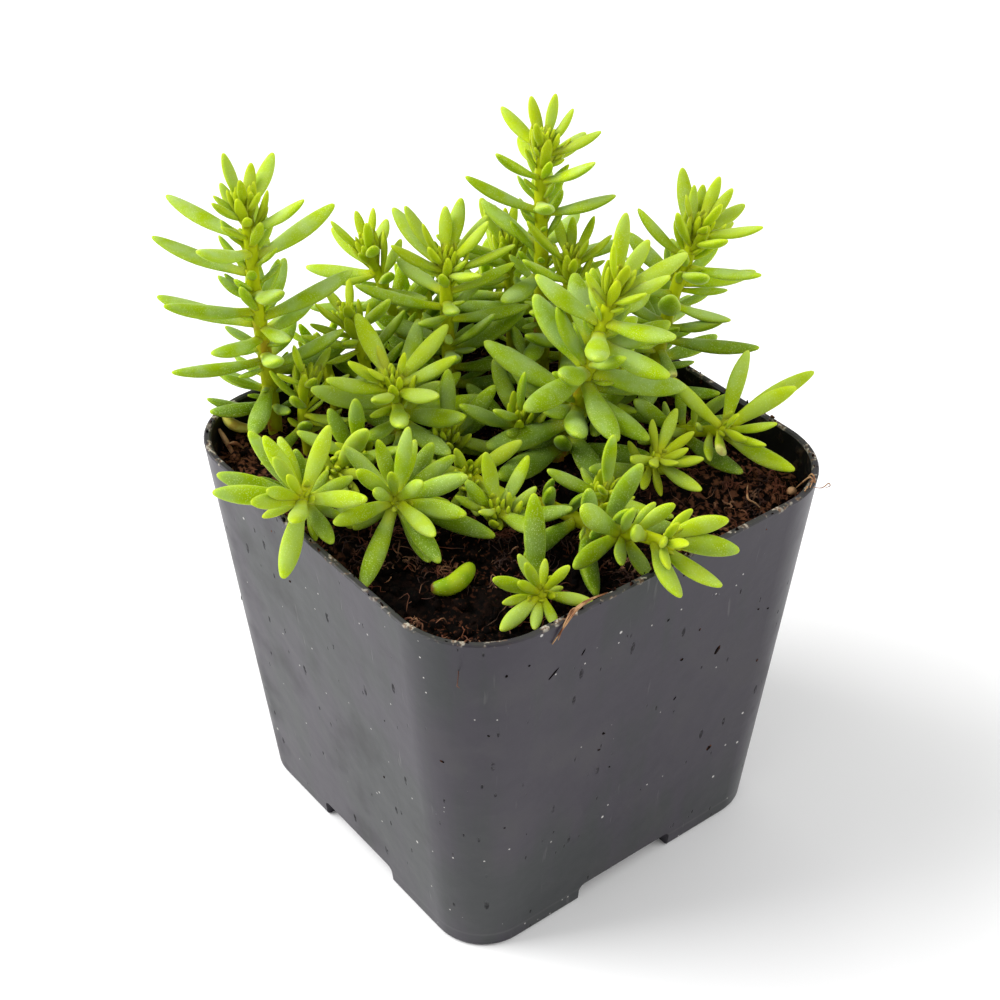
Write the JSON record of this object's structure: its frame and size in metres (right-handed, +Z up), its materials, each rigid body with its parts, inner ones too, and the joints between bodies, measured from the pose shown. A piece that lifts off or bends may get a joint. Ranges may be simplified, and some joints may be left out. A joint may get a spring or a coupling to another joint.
{
  "type": "potted sedum plant",
  "caption": "Small square plastic nursery pot full of coco-peat soil, with a clump of upright and creeping stems that carry plump narrow green leaves.",
  "frame": {"origin": "centre of the whole plant's box at the foot of the pot, within a millimetre of the centre of the pot's base, on the surface it stands on", "axes": "+Z up; X and Y along the sides of the square pot; the plant's best side faces +X and -Y"},
  "size_m": [0.0816, 0.0837, 0.0996],
  "materials": {
    "pot_plastic": "satin, scuffed",
    "peat": "rough",
    "green": "satin",
    "old_leaf": "satin"
  },
  "bodies": {
    "root": {"fallen_leaf": "old_leaf", "pot": "pot_plastic", "soil": "peat", "stem_back_corner": "green", "stem_back_outer_left": "green", "stem_back_outer_right": "green", "stem_back_right": "green", "stem_back_small": "green", "stem_back_tall": "green", "stem_front_creeping": "green", "stem_front_low": "green", "stem_front_rosette": "green", "stem_front_upright": "green", "stem_inner_front": "green", "stem_inner_left": "green", "stem_inner_low": "green", "stem_inner_right": "green", "stem_left_back": "green", "stem_left_lying": "green", "stem_left_outer": "green", "stem_left_rosette": "green", "stem_left_short": "green", "stem_left_small": "green", "stem_left_tall": "green", "stem_middle_back": "green", "stem_middle_left": "green", "stem_middle_low": "green", "stem_middle_tall": "green", "stem_right_back": "green", "stem_right_inner": "green", "stem_right_low": "green", "stem_right_rosette": "green"}
  },
  "joints": []
}
